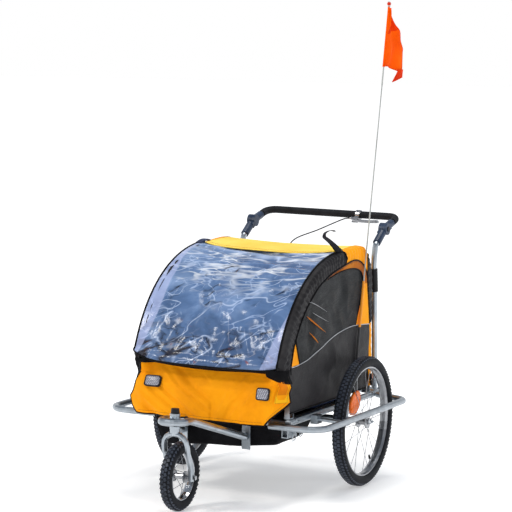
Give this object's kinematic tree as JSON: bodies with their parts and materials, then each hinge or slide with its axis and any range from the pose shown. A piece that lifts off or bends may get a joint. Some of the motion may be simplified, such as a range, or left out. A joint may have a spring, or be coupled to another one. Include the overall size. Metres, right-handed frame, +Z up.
{
  "type": "child bicycle trailer",
  "caption": "Fabric-covered child bicycle trailer with folding side hoops, large spoked side wheels, a swivelling front wheel on an arm, a tilting push handle and a safety flag.",
  "frame": {"origin": "on the ground under the middle of the trailer's overall box", "axes": "+Z up; the front wheel and the tow side face -Y, the push handle is at +Y, the trailer's right side is +X"},
  "size_m": [0.905, 1.422, 1.848],
  "materials": {
    "alloy": "satin",
    "black_fabric": "coated woven polyester",
    "black_plastic": "moulded",
    "cable_black": "plastic outer housing",
    "charcoal_fabric": "coated woven polyester",
    "chrome": "bright",
    "clear_vinyl": "clear flexible film, wrinkled",
    "flag_fabric": "fluorescent nylon",
    "foam": "soft foam",
    "navy_plastic": "moulded, satin",
    "orange_fabric": "coated woven polyester",
    "seat_fabric": "woven lining",
    "tyre": "matte with block tread",
    "white_fibreglass": "smooth rod",
    "yellow_fabric": "coated woven polyester, sunlit",
    "zinc_steel": "bright zinc-silver tube, slightly scuffed"
  },
  "bodies": {
    "root": {"axle_cross_tube": "zinc_steel", "back_fabric": "orange_fabric", "brake_cable": "cable_black", "bumper_left": "zinc_steel", "bumper_right": "zinc_steel", "bumper_strut_left": "zinc_steel", "bumper_strut_right": "zinc_steel", "clear_cover": "clear_vinyl", "flag_socket": "black_plastic", "floor_tray": "black_fabric", "fold_bracket_front_left": "zinc_steel", "fold_bracket_front_right": "zinc_steel", "fold_bracket_rear_left": "zinc_steel", "fold_bracket_rear_right": "zinc_steel", "front_arm": "zinc_steel", "front_cross_tube": "zinc_steel", "front_fabric": "orange_fabric", "handle_upright_left": "zinc_steel", "handle_upright_right": "zinc_steel", "knuckle_lower_left": "navy_plastic", "knuckle_lower_right": "navy_plastic", "rear_cross_bar": "zinc_steel", "rear_cross_tube": "zinc_steel", "roof_fabric": "yellow_fabric", "seat_back": "seat_fabric", "seat_cushion": "seat_fabric", "side_rail_left": "zinc_steel", "side_rail_right": "zinc_steel", "stub_axle_left": "chrome", "stub_axle_right": "chrome", "tow_socket": "zinc_steel", "upright_sleeve_left": "black_plastic", "upright_sleeve_right": "black_plastic"},
    "fold_hoop_left": {"side_hoop_left": "zinc_steel", "side_panel_left": "charcoal_fabric"},
    "fold_hoop_right": {"side_hoop_right": "zinc_steel", "side_panel_right": "charcoal_fabric"},
    "rear_wheel_left": {"tyre_left": "tyre", "rim_left": "alloy", "spoked_hub_left": "alloy"},
    "rear_wheel_right": {"tyre_right": "tyre", "rim_right": "alloy", "spoked_hub_right": "alloy"},
    "caster": {"fork": "zinc_steel", "front_axle": "chrome"},
    "front_wheel": {"tyre_front": "tyre", "rim_front": "chrome", "spoked_hub_front": "alloy"},
    "lock_knob": {"swivel_lock_knob": "black_plastic"},
    "handle": {"handlebar": "zinc_steel", "foam_grip": "foam", "knuckle_upper_left": "navy_plastic", "knuckle_upper_right": "navy_plastic", "lever_clamp": "alloy"},
    "lever": {"brake_lever": "alloy"},
    "button_left": {"tilt_button_left": "black_plastic"},
    "button_right": {"tilt_button_right": "black_plastic"},
    "flag": {"flag_pole": "white_fibreglass", "safety_flag": "flag_fabric"},
    "pin": {"tow_pin": "chrome"}
  },
  "joints": [
    {"name": "fold_left", "type": "hinge", "parent": "root", "child": "fold_hoop_left", "pos_m": [-0.29, 0, 0.341], "axis": [0, 1, 0], "range_deg": [0, 90], "deforming": ["clear_cover", "roof_fabric", "back_fabric", "front_fabric", "seat_back"]},
    {"name": "fold_right", "type": "hinge", "parent": "root", "child": "fold_hoop_right", "pos_m": [0.29, 0, 0.375], "axis": [0, -1, 0], "range_deg": [0, 90], "deforming": ["clear_cover", "roof_fabric", "back_fabric", "front_fabric", "seat_back"]},
    {"name": "rear_left_spin", "type": "hinge", "parent": "root", "child": "rear_wheel_left", "pos_m": [-0.381, 0.184, 0.25], "axis": [1, 0, 0], "continuous": true},
    {"name": "rear_right_spin", "type": "hinge", "parent": "root", "child": "rear_wheel_right", "pos_m": [0.381, 0.184, 0.25], "axis": [1, 0, 0], "continuous": true},
    {"name": "caster_swivel", "type": "hinge", "parent": "root", "child": "caster", "pos_m": [0, -0.626, 0.335], "axis": [0, 0, 1], "continuous": true},
    {"name": "front_wheel_spin", "type": "hinge", "parent": "caster", "child": "front_wheel", "pos_m": [0, -0.5815, 0.127], "axis": [1, 0, 0], "continuous": true},
    {"name": "swivel_lock_pull", "type": "slide", "parent": "root", "child": "lock_knob", "axis": [0, 0, 1], "range_m": [0, 0.009], "stiffness_N_per_m": 400, "springref_m": -0.002},
    {"name": "handle_tilt", "type": "hinge", "parent": "root", "child": "handle", "pos_m": [0, 0.555, 0.955], "axis": [1, 0, 0], "range_deg": [-60, 60], "deforming": ["brake_cable"]},
    {"name": "brake_squeeze", "type": "hinge", "parent": "handle", "child": "lever", "pos_m": [0.105, 0.6672, 0.9719], "axis": [0, -0.6, 0.8], "range_deg": [0, 7.5], "stiffness_Nm_per_rad": 1.2, "springref_deg": -2.86},
    {"name": "tilt_button_left_press", "type": "slide", "parent": "handle", "child": "button_left", "axis": [1, 0, 0], "range_m": [0, 0.0035], "stiffness_N_per_m": 900, "springref_m": -0.001},
    {"name": "tilt_button_right_press", "type": "slide", "parent": "handle", "child": "button_right", "axis": [-1, 0, 0], "range_m": [0, 0.0035], "stiffness_N_per_m": 900, "springref_m": -0.001},
    {"name": "flag_lift", "type": "slide", "parent": "root", "child": "flag", "axis": [0, 0.1537, 0.9881], "range_m": [0, 0.12]},
    {"name": "tow_pin_pull", "type": "slide", "parent": "root", "child": "pin", "axis": [1, 0, 0], "range_m": [0, 0.034]}
  ]
}
